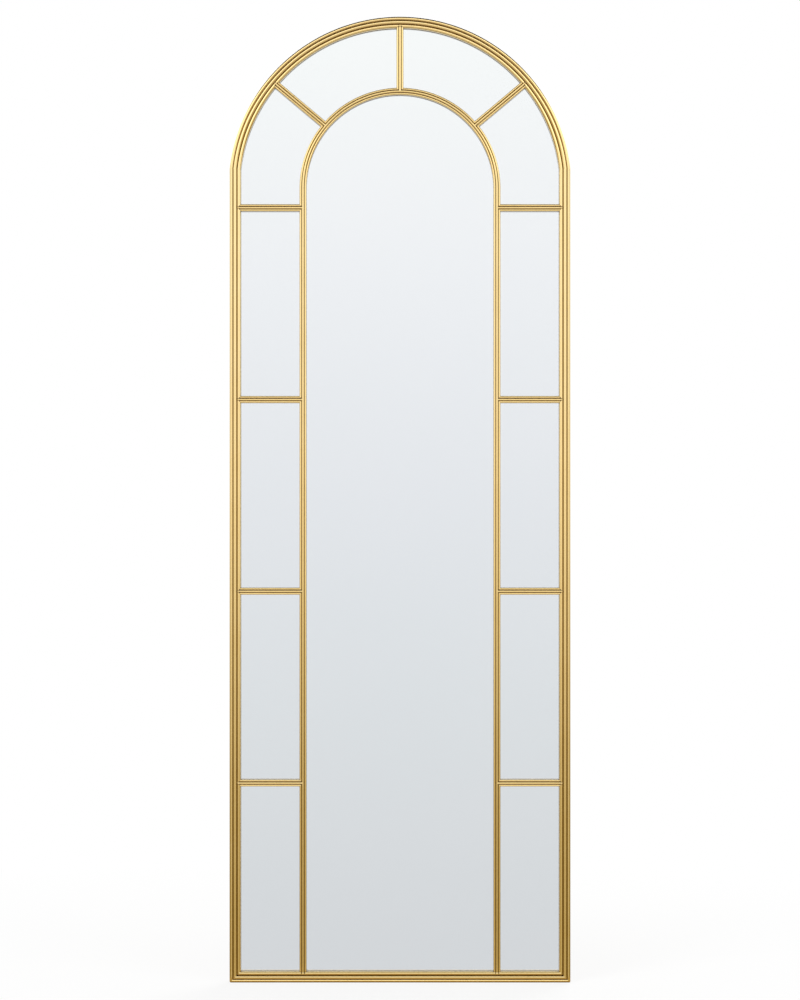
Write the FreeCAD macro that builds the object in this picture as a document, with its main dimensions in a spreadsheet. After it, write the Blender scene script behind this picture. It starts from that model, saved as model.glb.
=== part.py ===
"""Tall arched floor mirror: a frame of reeded brass-coloured channel with an inner arch, crossbars and
fan bars, thirteen separate mirror panes, a board back held by clips, and two hanging rings.

Millimetres. +Z is up, the front faces -Y, and the origin is the middle of the bottom edge.
Widths "u" run from a moulding's edge across its face, heights "v" from the glass towards the front.
"""
import FreeCAD, Part
import math
import os

from enum import IntEnum, auto

import Sketcher
from FreeCAD import Placement, Rotation, Vector

doc = FreeCAD.newDocument("floor_mirror")

# ---------------------------------------------------------------- driving dimensions
DRIVING = (
    # outline
    ("width", 600, "overall width"),
    ("height", 1700, "overall height"),
    ("head_overbend", 2, "how much larger than half the width the head is bent"),
    ("corner_radius", 3.3, "rounded bottom corners"),
    ("corner_wall", 0.2, "least metal left inside a rounded corner"),
    # outer moulding, across its face
    ("frame_face", 20, "face width of the outer moulding"),
    ("frame_outer_lip", 6.2, "width of the outer reed"),
    ("frame_bead", 6.8, "width of the middle reed, a half round"),
    ("frame_shoulder_drop", 5, "side wall's top below the bead's crest"),
    ("frame_sheet", 1.2, "sheet thickness of the outer moulding"),
    # bars
    ("bar_face", 12.5, "face width of the pillars, inner arch and bars"),
    ("bar_bead", 4.5, "width of the middle reed, a half round"),
    ("bar_shoulder_drop", 3.4, "side wall's top below the bead's crest"),
    ("bar_sheet", 0.8, "sheet thickness of the bars"),
    ("side_opening", 103, "clear width between stile and pillar"),
    ("side_rows", 4, "panes in each side column"),
    ("crossbar_drop", 28, "top crossbar's upper edge below the arch centre"),
    ("fan_angle", 50, "slanted fan bars, degrees from upright"),
    # layers, from front to back
    ("frame_rise", 10, "outer bead's crest above the glass"),
    ("bar_rise", 8.7, "bar bead's crest above the glass"),
    ("glass", 4, "pane thickness"),
    ("foam", 1, "cushioning sheet"),
    ("board", 5, "board thickness"),
    ("rear_margin", 7, "frame's rear edge behind the board"),
    ("glass_lap", 5, "how far a pane reaches behind each moulding"),
    ("board_gap", 1, "board's edge to the frame's wall"),
    # hardware
    ("strap_sheet", 1, "sheet of the clips and hanger straps"),
    ("clip_width", 12, "clip, along the frame"),
    ("clip_reach", 15, "clip's foot, from the wall inwards"),
    ("clip_wall", 5.5, "clip's upright leg"),
    ("clip_screw_inset", 9, "clip's screw, from the wall inwards"),
    ("side_clips", 4, "clips on each stile"),
    ("clip_lowest", 130, "lowest side clip above the bottom edge"),
    ("clip_headroom", 128, "highest side clip below the arch centre"),
    ("rail_clip_inset", 150, "bottom clips, from the sides"),
    ("screw_radius", 1.5, "screw shank"),
    ("screw_bite", 3.5, "screw's length in the board"),
    ("screw_head_radius", 3, "pan head"),
    ("screw_head", 1.8, "pan head's height"),
    ("screw_slot", 0.8, "width of the cross recess"),
    ("screw_clearance", 0.2, "shank to the hole in clip or strap"),
    ("pilot_clearance", 0.05, "shank to the pilot hole"),
    ("hanger_inset", 150, "hanger straps, from the sides"),
    ("hanger_height", 1290, "ring pivots above the bottom edge"),
    ("strap_width", 14, "hanger strap"),
    ("strap_length", 32, "hanger strap below the ring's pivot"),
    ("strap_upper_screw", 9, "below the pivot"),
    ("strap_lower_screw", 26.5, "below the pivot"),
    ("curl_angle", 280, "how far the strap's top is rolled round the ring's bar, degrees"),
    ("ring_wire", 3, "ring's wire diameter"),
    ("ring_gap", 0.3, "ring's running clearance in the strap"),
    ("ring_width", 23, "ring's width, centre to centre of the wire"),
    ("ring_drop", 20, "pivot to the bottom of the bow, centre of the wire"),
    ("ring_corner", 3.5, "bend beside the ring's bar"),
    ("bumper_radius", 8, "rubber bumper at the board"),
    ("bumper_tip_radius", 6.5, "rubber bumper at the wall"),
    ("bumper_edge", 1, "bumper's rounded rim"),
    ("bumper_proud", 2, "bumper beyond the frame's rear edge"),
    ("bumper_inset", 45, "bumpers, from the sides"),
    ("bumper_lower", 60, "lower bumpers above the bottom edge"),
    ("bumper_upper", 1400, "upper bumpers above the bottom edge"),
    ("overcut", 3, "how far a cutting shape runs past the metal"),
)

# What follows from them, as formulas of the second sheet.
WORKED = (
    ("half_width", "Sizes.width / 2"),
    ("head_radius", "half_width + Sizes.head_overbend"),
    ("arch_centre", "Sizes.height - head_radius"),
    ("joint_rise", "sqrt(head_radius ^ 2 - half_width ^ 2)"),
    ("joint_angle", "asin(joint_rise / head_radius) / (1 deg)"),
    ("stile_top", "arch_centre + joint_rise"),
    ("stile_inner", "half_width - Sizes.frame_face"),
    ("head_inner", "head_radius - Sizes.frame_face"),
    ("bar_half", "Sizes.bar_face / 2"),
    ("pillar_offset", "stile_inner - Sizes.side_opening - bar_half"),
    ("pillar_outer", "pillar_offset + bar_half"),
    ("pillar_inner", "pillar_offset - bar_half"),
    ("pillar_foot", "Sizes.frame_face - bar_half"),
    ("side_column", "arch_centre - Sizes.crossbar_drop - Sizes.frame_face"),
    ("row_pitch", "side_column / Sizes.side_rows"),
    ("side_height", "row_pitch - Sizes.bar_face"),
    ("first_crossbar", "Sizes.frame_face + side_height + bar_half"),
    ("crossbar_length", "Sizes.side_opening + Sizes.bar_face"),
    ("fan_bar_length", "head_inner + bar_half - pillar_offset"),
    ("frame_inner_lip", "Sizes.frame_face - Sizes.frame_outer_lip - Sizes.frame_bead"),
    ("frame_groove", "Sizes.frame_rise - Sizes.frame_bead / 2"),
    ("frame_shoulder", "Sizes.frame_rise - Sizes.frame_shoulder_drop"),
    ("bar_lip", "(Sizes.bar_face - Sizes.bar_bead) / 2"),
    ("bar_groove", "Sizes.bar_rise - Sizes.bar_bead / 2"),
    ("bar_shoulder", "Sizes.bar_rise - Sizes.bar_shoulder_drop"),
    ("depth", "Sizes.frame_rise + Sizes.glass + Sizes.foam + Sizes.board + Sizes.rear_margin"),
    ("rear_edge", "depth / 2"),
    ("glass_front", "Sizes.frame_rise - rear_edge"),
    ("glass_back", "glass_front + Sizes.glass"),
    ("foam_back", "glass_back + Sizes.foam"),
    ("board_back", "foam_back + Sizes.board"),
    ("corner_limit", "(Sizes.frame_sheet - Sizes.corner_wall) / (1 - sqrt(1 / 2))"),
    ("corner_cut", "min(Sizes.corner_radius; corner_limit)"),
    ("rim_inset", "Sizes.frame_sheet + Sizes.board_gap"),
    ("pane_half_gap", "bar_half - Sizes.glass_lap"),
    ("knuckle_bore", "Sizes.ring_wire / 2 + Sizes.ring_gap"),
    ("knuckle_radius", "knuckle_bore + Sizes.strap_sheet"),
    ("ring_pivot", "board_back + knuckle_radius"),
    ("screw_seat", "board_back + Sizes.strap_sheet"),
    ("clip_pitch", "(arch_centre - Sizes.clip_headroom - Sizes.clip_lowest) / (Sizes.side_clips - 1)"),
    ("rail_clip_offset", "half_width - Sizes.rail_clip_inset"),
    ("hanger_offset", "half_width - Sizes.hanger_inset"),
    ("bumper_height", "Sizes.rear_margin + Sizes.bumper_proud"),
)


def make_sheet(name, rows):
    """A two-column sheet: the alias beside its value or formula."""
    sheet = doc.addObject("Spreadsheet::Sheet", name)
    for row, (alias, value) in enumerate(rows, start=1):
        sheet.set(f"A{row}", alias)
        sheet.set(f"B{row}", str(value))
        sheet.setAlias(f"B{row}", alias)
    return sheet


sizes = make_sheet("Sizes", [(alias, value) for alias, value, note in DRIVING])
for row, (alias, value, note) in enumerate(DRIVING, start=1):
    sizes.set(f"C{row}", note)
worked = make_sheet("Worked", [(alias, "=" + formula) for alias, formula in WORKED])
doc.recompute()


def size(formula):
    """The present value of a formula in the sheets' names."""
    value = worked.evalExpression(str(formula))
    return float(getattr(value, "Value", value))


# ---------------------------------------------------------------- sketches and features
ROOT = -1        # a sketch's own axes and origin, as a geometry number


class Spot(IntEnum):
    """The points of an edge, as a sketch numbers them."""
    START = auto()
    END = auto()
    CENTRE = auto()


def arc_round(x, y, clockwise=False):
    """Says that the edge leaving a corner is an arc round (x, y)."""
    return (x, y, clockwise)


def plane(body, role):
    """One of a body's own origin planes."""
    return next(feature for feature in body.Origin.OriginFeatures if feature.Role == role)


def turned(axis, turn):
    """A turn about an axis by an angle that may be negative."""
    angle = size(turn)
    return Rotation(axis * math.copysign(1, angle), abs(angle))


def new_sketch(body, role, offset="0", turn="0"):
    """A sketch on an origin plane, moved along its normal and turned in its own plane."""
    sketch = body.newObject("Sketcher::SketchObject", body.Name + "_sketch")
    sketch.AttachmentSupport = [(plane(body, role), "")]
    sketch.MapMode = "FlatFace"
    sketch.AttachmentOffset = Placement(Vector(0, 0, size(offset)), turned(Vector(0, 0, 1), turn))
    sketch.setExpression("AttachmentOffset.Base.z", offset)
    if turn != "0":
        sketch.setExpression("AttachmentOffset.Rotation.Angle", f"abs({turn})")
    return sketch


def at(edge, point, x=None, y=None):
    """Rules that hold a point of an edge at a place measured from the sketch's origin."""
    formulas = (("DistanceX", x), ("DistanceY", y))
    given = [(kind, formula) for kind, formula in formulas if formula is not None]
    return [((kind, ROOT, Spot.START, edge, point), formula) for kind, formula in given]


def tie(sketch, rules):
    """Adds constraints, and ties those that carry a formula to the sheets."""
    made = []
    for parts, formula in rules:
        value = [] if formula is None else [size(formula)]
        made.append(Sketcher.Constraint(*parts, *value))
    numbers = sketch.addConstraint(made)
    for number, (parts, formula) in zip(numbers, rules):
        if formula is not None:
            sketch.setExpression(f"Constraints[{number}]", formula)


def edge_shape(here, there, bend):
    """A line, or the arc round bend's centre, from one corner to the next, and the end it starts at."""
    if bend is None:
        return Part.LineSegment(here, there), Spot.START
    x, y, clockwise = bend
    middle = Vector(size(x), size(y), 0)
    begin, finish = (there, here) if clockwise else (here, there)
    angles = [math.atan2(spot.y - middle.y, spot.x - middle.x) for spot in (begin, finish)]
    if angles[1] <= angles[0]:
        angles[1] += 2 * math.pi
    circle = Part.Circle(middle, Vector(0, 0, 1), (begin - middle).Length)
    return Part.ArcOfCircle(circle, *angles), Spot.END if clockwise else Spot.START


def draw(sketch, corners):
    """A closed outline. Each corner is (x, y) or (x, y, arc_round(...)), as formulas."""
    first = sketch.GeometryCount
    spots = [Vector(size(corner[0]), size(corner[1]), 0) for corner in corners]
    bends = [corner[2] if len(corner) == 3 else None for corner in corners]
    nexts = spots[1:] + spots[:1]
    edges = [edge_shape(here, there, bend) for here, there, bend in zip(spots, nexts, bends)]
    sketch.addGeometry([shape for shape, entry in edges])
    rules = []
    for number, (corner, bend) in enumerate(zip(corners, bends)):
        edge, following = first + number, (number + 1) % len(corners)
        entry, next_entry = edges[number][1], edges[following][1]
        leaving = Spot.START if entry == Spot.END else Spot.END
        rules.append((("Coincident", edge, leaving, first + following, next_entry), None))
        rules += at(edge, entry, corner[0], corner[1])
        if bend is not None:
            span = nexts[number] - spots[number]
            level = abs(span.x) >= abs(span.y)
            rules += at(edge, Spot.CENTRE, y=bend[1]) if level else at(edge, Spot.CENTRE, x=bend[0])
    tie(sketch, rules)


def draw_circle(sketch, x, y, radius):
    """A circle whose centre and radius follow the sheets."""
    edge = sketch.GeometryCount
    sketch.addGeometry(Part.Circle(Vector(size(x), size(y), 0), Vector(0, 0, 1), size(radius)))
    tie(sketch, at(edge, Spot.CENTRE, x, y) + [(("Radius", edge), radius)])


def new_body(name):
    body = doc.addObject("PartDesign::Body", name)
    body.Label = name
    return body


def place(thing, x="0", y="0", z="0", turn="0"):
    """Puts a body or copy at a point, turned about Y by an angle."""
    thing.Placement = Placement(Vector(size(x), size(y), size(z)), turned(Vector(0, 1, 0), turn))
    for axis, formula in (("x", x), ("y", y), ("z", z)):
        thing.setExpression("Placement.Base." + axis, formula)
    if turn != "0":
        thing.setExpression("Placement.Rotation.Angle", f"abs({turn})")
    return thing


def pad(body, sketch, length):
    feature = body.newObject("PartDesign::Pad", body.Name + "_pad")
    feature.Profile = sketch
    feature.setExpression("Length", length)
    doc.recompute()
    return feature


def revolve(body, sketch, angle="360"):
    """Turns a sketch about its own upright axis, half of the angle to each side."""
    feature = body.newObject("PartDesign::Revolution", body.Name + "_revolution")
    feature.Profile = sketch
    feature.ReferenceAxis = (sketch, ["V_Axis"])
    feature.Midplane = True
    feature.Angle = size(angle)
    feature.setExpression("Angle", angle)
    doc.recompute()
    return feature


def cut(body, sketch, depth=None):
    """Cuts a sketch right through to both sides, or along its normal to a depth."""
    before = body.Tip.Shape.Volume
    feature = body.newObject("PartDesign::Pocket", body.Name + "_pocket")
    feature.Profile = sketch
    if depth is None:
        feature.Type = "ThroughAll"
        feature.Midplane = True
    else:
        feature.Reversed = True
        feature.setExpression("Length", depth)
    doc.recompute()
    if not feature.Shape.Volume < before:
        raise RuntimeError(f"{feature.Name} cuts nothing")
    return feature


def repeat_up(body, feature, sketch, pitch, count):
    """Repeats a cut along the sketch's upright axis."""
    pattern = body.newObject("PartDesign::LinearPattern", body.Name + "_pattern")
    pattern.Originals = [feature]
    pattern.Direction = (sketch, ["V_Axis"])
    pattern.setExpression("Length", f"({pitch}) * ({count} - 1)")
    pattern.setExpression("Occurrences", count)
    body.Tip = pattern
    doc.recompute()
    return pattern


# ---------------------------------------------------------------- mouldings
def toward(corner, centre, radius, step):
    """The point a step from a groove's corner towards a reed's centre."""
    return tuple(f"{start} + {step} * ({end} - ({start})) / ({radius})" for start, end in zip(corner, centre))


def channel(face, lips, bead, sheet, shoulder, groove, rears):
    """A sheet channel with three round reeds, as corners in u and v: two lips that roll into the side
    walls and a half-round bead between them, all of one thickness."""
    radii = [f"(({lip}) ^ 2 + ({groove} - {shoulder}) ^ 2) / (2 * ({lip}))" for lip in lips]
    lip_centres = [(radii[0], shoulder), (f"{face} - {radii[1]}", shoulder)]
    grooves = [(lips[0], groove), (f"{lips[0]} + {bead}", groove)]
    bead_centre = (f"{lips[0]} + {bead} / 2", groove)
    bead_radius = f"{bead} / 2"
    inside = [
        (toward(corner, centre, radius, sheet), toward(corner, bead_centre, bead_radius, sheet))
        for corner, centre, radius in zip(grooves, lip_centres, radii)
    ]
    return [
        ("0", rears[0]),
        ("0", shoulder, arc_round(*lip_centres[0], clockwise=True)),
        (*grooves[0], arc_round(*bead_centre, clockwise=True)),
        (*grooves[1], arc_round(*lip_centres[1], clockwise=True)),
        (face, shoulder),
        (face, rears[1]),
        (f"{face} - {sheet}", rears[1]),
        (f"{face} - {sheet}", shoulder, arc_round(*lip_centres[1])),
        (*inside[1][0], arc_round(*grooves[1], clockwise=True)),
        (*inside[1][1], arc_round(*bead_centre)),
        (*inside[0][1], arc_round(*grooves[0], clockwise=True)),
        (*inside[0][0], arc_round(*lip_centres[0])),
        (sheet, shoulder),
        (sheet, rears[0]),
    ]


FRAME_CHANNEL = channel(
    face="Sizes.frame_face",
    lips=("Sizes.frame_outer_lip", "Worked.frame_inner_lip"),
    bead="Sizes.frame_bead",
    sheet="Sizes.frame_sheet",
    shoulder="Worked.frame_shoulder",
    groove="Worked.frame_groove",
    rears=("Sizes.frame_rise - Worked.depth", "0"),
)
BAR_CHANNEL = channel(
    face="Sizes.bar_face",
    lips=("Worked.bar_lip", "Worked.bar_lip"),
    bead="Sizes.bar_bead",
    sheet="Sizes.bar_sheet",
    shoulder="Worked.bar_shoulder",
    groove="Worked.bar_groove",
    rears=("0", "0"),
)


def laid(section, edge, inwards):
    """A section in sketch axes: u runs from the edge inwards (+1) or back (-1), v towards -Y."""
    def x(u):
        return f"{edge} + {inwards} * ({u})"

    def y(v):
        return f"Worked.glass_front - ({v})"

    corners = []
    for corner in section:
        spot = (x(corner[0]), y(corner[1]))
        if len(corner) == 3:
            u, v, clockwise = corner[2]
            spot += (arc_round(x(u), y(v), clockwise=clockwise != (inwards > 0)),)
        corners.append(spot)
    return corners


def straight(name, section, bottom, length):
    """A length of moulding along its own Z, with its section between u = 0 and the face's width."""
    body = new_body(name)
    sketch = new_sketch(body, "XY_Plane", offset=bottom)
    draw(sketch, section)
    pad(body, sketch, length)
    return body


def bent(name, section, angle):
    """A moulding bent round the body's Y axis."""
    body = new_body(name)
    sketch = new_sketch(body, "XY_Plane")
    draw(sketch, section)
    revolve(body, sketch, angle)
    return body


def vee(tip_x, tip_z, opens):
    """A right-angled notch that opens along X (+1 or -1) and runs past the metal."""
    reach = "(Worked.bar_half + Sizes.overcut)"
    far = f"{tip_x} + {opens} * {reach}"
    return [(tip_x, tip_z), (far, f"{tip_z} - {reach}"), (far, f"{tip_z} + {reach}")]


def point_end(body, tip_z, outwards):
    """Mitres one end of a bar from both sides to a point on its middle line."""
    reach = "(Worked.bar_half + Sizes.overcut)"
    sketch = new_sketch(body, "XZ_Plane")
    for side in (1, -1):
        across = f"{side} * {reach}"
        low = f"{tip_z} - {outwards} * {reach}"
        high = f"{tip_z} + {outwards} * Sizes.overcut"
        draw(sketch, [("0", tip_z), (across, low), (across, high), ("0", high)])
    cut(body, sketch)


def notch_side(body, tip_x, opens):
    """A column of notches for the crossbars."""
    sketch = new_sketch(body, "XZ_Plane")
    draw(sketch, vee(tip_x, "Worked.first_crossbar", opens))
    feature = cut(body, sketch)
    repeat_up(body, feature, sketch, "Worked.row_pitch", "Sizes.side_rows")


def notch_fan(body, tip, opens):
    """Notches for the fan bars, at a radius from the body's Y axis."""
    for angle in FAN_ANGLES.values():
        sketch = new_sketch(body, "XZ_Plane", turn=angle)
        draw(sketch, vee(tip, "0", opens))
        cut(body, sketch)


def round_corner(body, x, z, across, up):
    """Rounds a bottom corner of the frame. The metal lies across (+1 or -1) and up (+1 or -1) from it."""
    radius = "Worked.corner_cut"
    past = "Sizes.overcut"
    inner_x, inner_z = f"{x} + {across} * {radius}", f"{z} + {up} * {radius}"
    outer_x, outer_z = f"{x} - {across} * {past}", f"{z} - {up} * {past}"
    sketch = new_sketch(body, "XZ_Plane")
    draw(sketch, [
        (inner_x, z),
        (inner_x, outer_z),
        (outer_x, outer_z),
        (outer_x, inner_z),
        (x, inner_z, arc_round(inner_x, inner_z, clockwise=across != up)),
    ])
    cut(body, sketch)


SIDES = {"left": -1, "right": 1}
FAN_ANGLES = {"left": "-Sizes.fan_angle", "centre": "0 * Sizes.fan_angle", "right": "Sizes.fan_angle"}
PILLAR_BAR = laid(BAR_CHANNEL, "-Worked.bar_half", 1)


def stile(label, side):
    """A side of the frame: mitred at the foot and cut along the arch's radius at the top."""
    section = laid(FRAME_CHANNEL, f"{side} * Worked.half_width", -side)
    body = straight(f"{label}_stile", section, "0", "Worked.stile_top")
    inner = "(Worked.stile_inner - Sizes.overcut)"
    outer = "(Worked.half_width + Sizes.overcut)"
    slope = "Worked.joint_rise / Worked.half_width"
    ends = new_sketch(body, "XZ_Plane")
    draw(ends, [
        (f"{side} * {outer}", "-Sizes.overcut"),
        (f"{side} * {inner}", "Sizes.frame_face + Sizes.overcut"),
        (f"{side} * {inner}", "-Sizes.overcut"),
    ])
    top = "Worked.stile_top + 2 * Sizes.overcut"
    draw(ends, [
        (f"{side} * {inner}", f"Worked.arch_centre + {inner} * {slope}"),
        (f"{side} * {outer}", f"Worked.arch_centre + {outer} * {slope}"),
        (f"{side} * {outer}", top),
        (f"{side} * {inner}", top),
    ])
    cut(body, ends)
    round_corner(body, f"{side} * Worked.half_width", "0", -side, 1)
    notch_side(body, f"{side} * (Worked.stile_inner + Worked.bar_half)", -side)
    return body


def bottom_rail():
    """The bottom of the frame, built upright and laid down: its own X is up, its own Z runs to the left."""
    body = straight("bottom_rail", laid(FRAME_CHANNEL, "0", 1), "0", "Sizes.width")
    beyond = "(Sizes.frame_face + Sizes.overcut)"
    ends = new_sketch(body, "XZ_Plane")
    draw(ends, [("-Sizes.overcut", "-Sizes.overcut"), (beyond, "-Sizes.overcut"), (beyond, beyond)])
    draw(ends, [
        ("-Sizes.overcut", "Sizes.width + Sizes.overcut"),
        (beyond, "Sizes.width + Sizes.overcut"),
        (beyond, f"Sizes.width - {beyond}"),
    ])
    cut(body, ends)
    round_corner(body, "0", "0", 1, 1)
    round_corner(body, "0", "Sizes.width", 1, -1)
    seats = new_sketch(body, "XZ_Plane")
    for side in SIDES.values():
        draw(seats, vee("Worked.pillar_foot", f"Worked.half_width - {side} * Worked.pillar_offset", 1))
    cut(body, seats)
    place(body, x="Worked.half_width", turn="-90")
    return body


def pillar(label, side):
    """An inner upright, pointed where it stands in the bottom rail."""
    length = "Worked.arch_centre - Worked.pillar_foot"
    body = straight(f"{label}_pillar", PILLAR_BAR, "Worked.pillar_foot", length)
    point_end(body, "Worked.pillar_foot", -1)
    notch_side(body, "0", side)
    place(body, x=f"{side} * Worked.pillar_offset")
    return body


def arches():
    """The frame's head and the inner arch, bent round one centre."""
    head_section = laid(FRAME_CHANNEL, "Worked.head_radius", -1)
    head = bent("arch_head", head_section, "180 - 2 * Worked.joint_angle")
    notch_fan(head, "Worked.head_inner + Worked.bar_half", -1)
    inner_section = laid(BAR_CHANNEL, "Worked.pillar_outer", -1)
    inner = bent("inner_arch", inner_section, "180")
    notch_fan(inner, "Worked.pillar_offset", 1)
    for body in (head, inner):
        place(body, z="Worked.arch_centre", turn="-90")
    return [head, inner]


def crossbar(label, side, row):
    """A level bar, pointed at both ends, from stile to pillar. Row 1 is the highest."""
    body = straight(f"{label}_crossbar_{row}", PILLAR_BAR, "0", "Worked.crossbar_length")
    point_end(body, "0", -1)
    point_end(body, "Worked.crossbar_length", 1)
    height = f"Worked.first_crossbar + (Sizes.side_rows - {row}) * Worked.row_pitch"
    place(body, x=f"{side} * Worked.pillar_offset", z=height, turn=str(side * 90))
    return body


def fan_bar(label, angle):
    """A bar along a radius from the inner arch to the head."""
    body = straight(f"{label}_fan_bar", PILLAR_BAR, "Worked.pillar_offset", "Worked.fan_bar_length")
    point_end(body, "Worked.pillar_offset", -1)
    point_end(body, "Worked.pillar_offset + Worked.fan_bar_length", 1)
    return place(body, z="Worked.arch_centre", turn=angle)


# ---------------------------------------------------------------- panes, foam and board
def plate(name, outline, back, thickness):
    """A flat plate whose outline is drawn from the front, from its back towards the front."""
    body = new_body(name)
    sketch = new_sketch(body, "XZ_Plane", offset=f"-{back}")
    draw(sketch, outline)
    pad(body, sketch, thickness)
    return body


def pane(name, outline):
    return plate(name, outline, "Worked.glass_back", "Sizes.glass")


def on_fan_line(radius, angle, shift):
    """Where a circle round the arch's centre meets a line beside a fan bar's middle line."""
    along = f"sqrt({radius} ^ 2 - ({shift}) ^ 2)"
    x = f"{along} * sin({angle}) + ({shift}) * cos({angle})"
    z = f"Worked.arch_centre + {along} * cos({angle}) - ({shift}) * sin({angle})"
    return (x, z)


def centre_pane():
    """The tall middle pane with its round top."""
    half = "(Worked.pillar_inner + Sizes.glass_lap)"
    bottom = "Sizes.frame_face - Sizes.glass_lap"
    return pane("centre_pane", [
        (f"-{half}", bottom),
        (half, bottom),
        (half, "Worked.arch_centre", arc_round("0", "Worked.arch_centre")),
        (f"-{half}", "Worked.arch_centre"),
    ])


def side_pane(label, side, row):
    """A rectangular pane in a side column. Row 1 is the highest."""
    inner = f"{side} * (Worked.pillar_outer - Sizes.glass_lap)"
    outer = f"{side} * (Worked.stile_inner + Sizes.glass_lap)"
    sill = f"Sizes.frame_face + (Sizes.side_rows - {row}) * Worked.row_pitch"
    low = f"{sill} - Sizes.glass_lap"
    high = f"{sill} + Worked.side_height + Sizes.glass_lap"
    return pane(f"{label}_pane_{row}", [(inner, low), (outer, low), (outer, high), (inner, high)])


def lower_fan_pane(label, side):
    """From the top crossbar up to the slanted fan bar."""
    inner = "(Worked.pillar_outer - Sizes.glass_lap)"
    outer = "(Worked.head_inner + Sizes.glass_lap)"
    edge = "(Worked.stile_inner + Sizes.glass_lap)"
    low = "Worked.arch_centre - Sizes.crossbar_drop - Sizes.glass_lap"
    angle = f"{side} * Sizes.fan_angle"
    shift = f"{side} * Worked.pane_half_gap"
    centre = ("0", "Worked.arch_centre")
    return pane(f"{label}_lower_fan_pane", [
        (f"{side} * {inner}", low),
        (f"{side} * {edge}", low),
        (f"{side} * {edge}", f"Worked.arch_centre + sqrt({outer} ^ 2 - {edge} ^ 2)",
         arc_round(*centre, clockwise=side < 0)),
        on_fan_line(outer, angle, shift),
        (*on_fan_line(inner, angle, shift), arc_round(*centre, clockwise=side > 0)),
        (f"{side} * {inner}", "Worked.arch_centre"),
    ])


def upper_fan_pane(label, side):
    """From the slanted fan bar to the upright one."""
    inner = "(Worked.pillar_outer - Sizes.glass_lap)"
    outer = "(Worked.head_inner + Sizes.glass_lap)"
    slant = f"{side} * Sizes.fan_angle"
    upright = "0 * Sizes.fan_angle"
    beside = f"{side} * Worked.pane_half_gap"
    before = f"-{side} * Worked.pane_half_gap"
    centre = ("0", "Worked.arch_centre")
    return pane(f"{label}_upper_fan_pane", [
        on_fan_line(inner, slant, before),
        (*on_fan_line(outer, slant, before), arc_round(*centre, clockwise=side < 0)),
        on_fan_line(outer, upright, beside),
        (*on_fan_line(inner, upright, beside), arc_round(*centre, clockwise=side > 0)),
    ])


def rim_outline():
    """The frame's own outline, drawn inside its wall."""
    half = "(Worked.half_width - Worked.rim_inset)"
    radius = "(Worked.head_radius - Worked.rim_inset)"
    spring = f"Worked.arch_centre + sqrt({radius} ^ 2 - {half} ^ 2)"
    return [
        (f"-{half}", "Worked.rim_inset"),
        (half, "Worked.rim_inset"),
        (half, spring, arc_round("0", "Worked.arch_centre")),
        (f"-{half}", spring),
    ]


def backing_board(screw_spots):
    """The board, with a blind pilot hole for each screw."""
    body = plate("backing_board", rim_outline(), "Worked.board_back", "Sizes.board")
    holes = new_sketch(body, "XZ_Plane", offset="-Worked.board_back")
    for x, z in screw_spots:
        draw_circle(holes, x, z, "Sizes.screw_radius + Sizes.pilot_clearance")
    cut(body, holes, "Sizes.screw_bite + Sizes.pilot_clearance")
    return body


# ---------------------------------------------------------------- clips and screws
def clip_places():
    """Where each clip's foot leaves the frame's wall: x, z and its turn about Y."""
    wall = "(Worked.half_width - Sizes.frame_sheet)"
    places = []
    for number in range(int(size("Sizes.side_clips"))):
        z = f"Sizes.clip_lowest + {number} * Worked.clip_pitch"
        places += [(f"-{wall}", z, "0"), (wall, z, "180")]
    places += [(f"{side} * Worked.rail_clip_offset", "Sizes.frame_sheet", "-90") for side in SIDES.values()]
    arch_wall = "sqrt((Worked.head_radius - Sizes.frame_sheet) ^ 2 - (Sizes.clip_width / 2) ^ 2)"
    for angle in FAN_ANGLES.values():
        x = f"{arch_wall} * sin({angle})"
        z = f"Worked.arch_centre + {arch_wall} * cos({angle})"
        places.append((x, z, f"90 + {angle}"))
    return places


def clip_screw_spots(places):
    """The screw's place in each clip."""
    inset = "Sizes.clip_screw_inset"
    return [(f"{x} + {inset} * cos({turn})", f"{z} - {inset} * sin({turn})") for x, z, turn in places]


def strap_screw_spots():
    return [
        (f"{side} * Worked.hanger_offset", f"Sizes.hanger_height - {below}")
        for side in SIDES.values()
        for below in ("Sizes.strap_upper_screw", "Sizes.strap_lower_screw")
    ]


def master_clip():
    """One clip: a foot along X on the board and a leg up the wall, bent from one strip."""
    body = new_body("master_clip")
    sketch = new_sketch(body, "XY_Plane", offset="-Sizes.clip_width / 2")
    sheet = "Sizes.strap_sheet"
    draw(sketch, [
        ("0", "Worked.board_back"),
        ("Sizes.clip_reach", "Worked.board_back"),
        ("Sizes.clip_reach", f"Worked.board_back + {sheet}"),
        (sheet, f"Worked.board_back + {sheet}"),
        (sheet, "Worked.board_back + Sizes.clip_wall"),
        ("0", "Worked.board_back + Sizes.clip_wall"),
    ])
    pad(body, sketch, "Sizes.clip_width")
    hole = new_sketch(body, "XZ_Plane")
    draw_circle(hole, "Sizes.clip_screw_inset", "0", "Sizes.screw_radius + Sizes.screw_clearance")
    cut(body, hole)
    return body


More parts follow.
